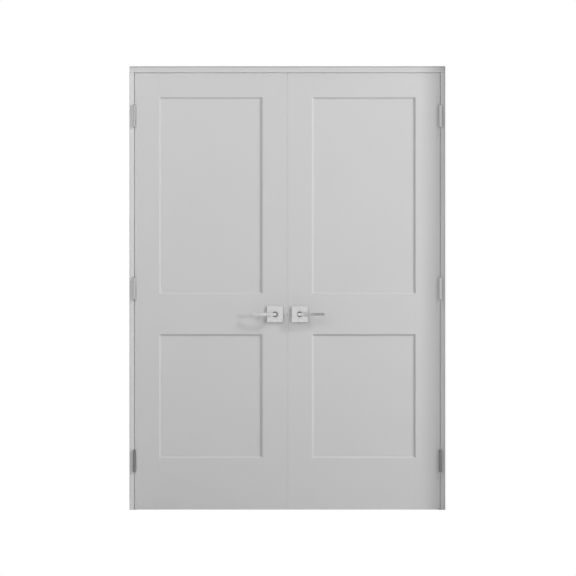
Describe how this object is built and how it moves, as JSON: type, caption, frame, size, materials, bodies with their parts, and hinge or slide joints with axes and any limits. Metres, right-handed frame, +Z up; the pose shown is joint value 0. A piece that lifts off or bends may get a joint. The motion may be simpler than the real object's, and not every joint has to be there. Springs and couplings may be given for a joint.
{
  "type": "french doors",
  "caption": "Pair of solid shaker doors hung in a timber frame, with levers, a latch and flush bolts.",
  "frame": {"origin": "on the floor, under the middle of the whole set", "axes": "+Z up, +X to the viewer's right, the pictured front and the opening side face -Y"},
  "size_m": [1.4704, 0.1734, 2.0651],
  "materials": {
    "painted_timber": "satin pale grey-white paint on timber",
    "painted_panel": "satin pale grey-white paint on smooth board",
    "hinge_steel": "satin nickel plate on steel",
    "satin_nickel": "satin nickel plate, finely brushed",
    "plain_steel": "bright zinc plate, seen only with the fittings taken off"
  },
  "bodies": {
    "frame": {"left_jamb": "painted_timber", "right_jamb": "painted_timber", "head_jamb": "painted_timber", "left_stop": "painted_timber", "right_stop": "painted_timber", "head_stop": "painted_timber", "left_top_frame_hinge_plate": "hinge_steel", "left_middle_frame_hinge_plate": "hinge_steel", "left_bottom_frame_hinge_plate": "hinge_steel", "right_top_frame_hinge_plate": "hinge_steel", "right_middle_frame_hinge_plate": "hinge_steel", "right_bottom_frame_hinge_plate": "hinge_steel", "hinge_pins": "hinge_steel", "head_strike": "satin_nickel"},
    "left_leaf": {"left_lock_stile": "painted_timber", "left_hinge_stile": "painted_timber", "left_top_rail": "painted_timber", "left_lock_rail": "painted_timber", "left_bottom_rail": "painted_timber", "left_upper_panel": "painted_panel", "left_lower_panel": "painted_panel", "left_top_door_hinge_plate": "hinge_steel", "left_middle_door_hinge_plate": "hinge_steel", "left_bottom_door_hinge_plate": "hinge_steel", "left_front_rose": "satin_nickel", "left_front_rose_plate": "plain_steel", "left_back_rose": "satin_nickel", "left_back_rose_plate": "plain_steel", "left_rose_bolts": "plain_steel", "left_latch_case": "plain_steel", "left_latch_faceplate": "satin_nickel"},
    "left_levers": {"left_front_lever": "satin_nickel", "left_back_lever": "satin_nickel", "left_spindle": "plain_steel", "left_latch_cam": "plain_steel"},
    "left_latch": {"left_latch_bolt": "plain_steel"},
    "right_leaf": {"right_lock_stile": "painted_timber", "right_hinge_stile": "painted_timber", "right_top_rail": "painted_timber", "right_lock_rail": "painted_timber", "right_bottom_rail": "painted_timber", "right_upper_panel": "painted_panel", "right_lower_panel": "painted_panel", "right_top_door_hinge_plate": "hinge_steel", "right_middle_door_hinge_plate": "hinge_steel", "right_bottom_door_hinge_plate": "hinge_steel", "right_front_rose": "satin_nickel", "right_front_rose_plate": "plain_steel", "right_back_rose": "satin_nickel", "right_back_rose_plate": "plain_steel", "right_rose_bolts": "plain_steel", "right_front_lever": "satin_nickel", "right_back_lever": "satin_nickel", "right_latch_strike": "satin_nickel", "right_top_flush_housing": "satin_nickel", "right_bottom_flush_housing": "satin_nickel"},
    "right_top_bolt": {"right_top_flush_bolt": "satin_nickel"},
    "right_bottom_bolt": {"right_bottom_flush_bolt": "satin_nickel"}
  },
  "joints": [
    {"name": "left_leaf_swing", "type": "hinge", "parent": "frame", "child": "left_leaf", "pos_m": [-0.71225, -0.0372, 1.03], "axis": [0, 0, -1], "range_deg": [0, 170]},
    {"name": "right_leaf_swing", "type": "hinge", "parent": "frame", "child": "right_leaf", "pos_m": [0.71225, -0.0372, 1.03], "axis": [0, 0, 1], "range_deg": [0, 170]},
    {"name": "left_lever_turn", "type": "hinge", "parent": "left_leaf", "child": "left_levers", "pos_m": [-0.05725, -0.01175, 0.91], "axis": [0, -1, 0], "range_deg": [0, 45], "stiffness_Nm_per_rad": 1, "springref_deg": -28.65},
    {"name": "left_latch_slide", "type": "slide", "parent": "left_leaf", "child": "left_latch", "axis": [-1, 0, 0], "range_m": [0, 0.0112]},
    {"name": "right_top_bolt_slide", "type": "slide", "parent": "right_leaf", "child": "right_top_bolt", "axis": [0, 0, 1], "range_m": [0, 0.019]},
    {"name": "right_bottom_bolt_slide", "type": "slide", "parent": "right_leaf", "child": "right_bottom_bolt", "axis": [0, 0, -1], "range_m": [0, 0.019]}
  ],
  "couplings": [
    {"joint": "left_latch_slide", "follows": "left_lever_turn", "m_per_rad": 0.014259}
  ]
}
